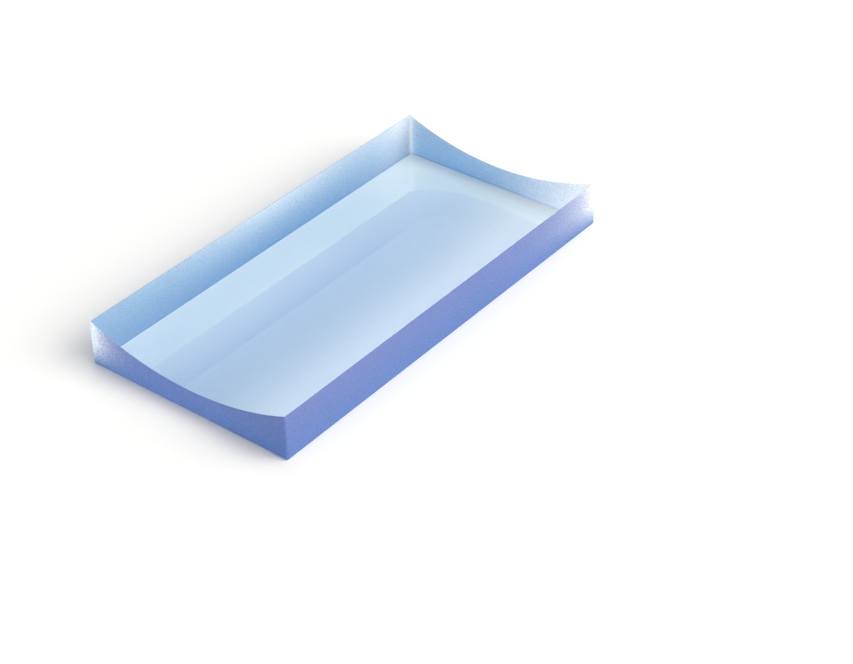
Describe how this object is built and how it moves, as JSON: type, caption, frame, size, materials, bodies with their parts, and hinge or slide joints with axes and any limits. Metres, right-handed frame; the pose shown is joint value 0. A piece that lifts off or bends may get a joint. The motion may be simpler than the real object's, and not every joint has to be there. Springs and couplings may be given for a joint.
{
  "type": "cylindrical lens",
  "caption": "Rectangular plano-concave cylindrical lens, one block of optical glass with a polished hollow cylindrical face, a polished flat face and fine-ground edges.",
  "frame": {"origin": "centre of the flat polished face, which the lens lies on", "axes": "+X along the cylinder axis of the hollow face, +Y across the curve, +Z the optical axis, up out of the hollow face"},
  "size_m": [0.05, 0.025, 0.005],
  "materials": {
    "optical_glass": "polished on the hollow and flat faces, fine-ground on the four sides and the bevels"
  },
  "bodies": {
    "root": {"lens": "optical_glass"}
  },
  "joints": []
}
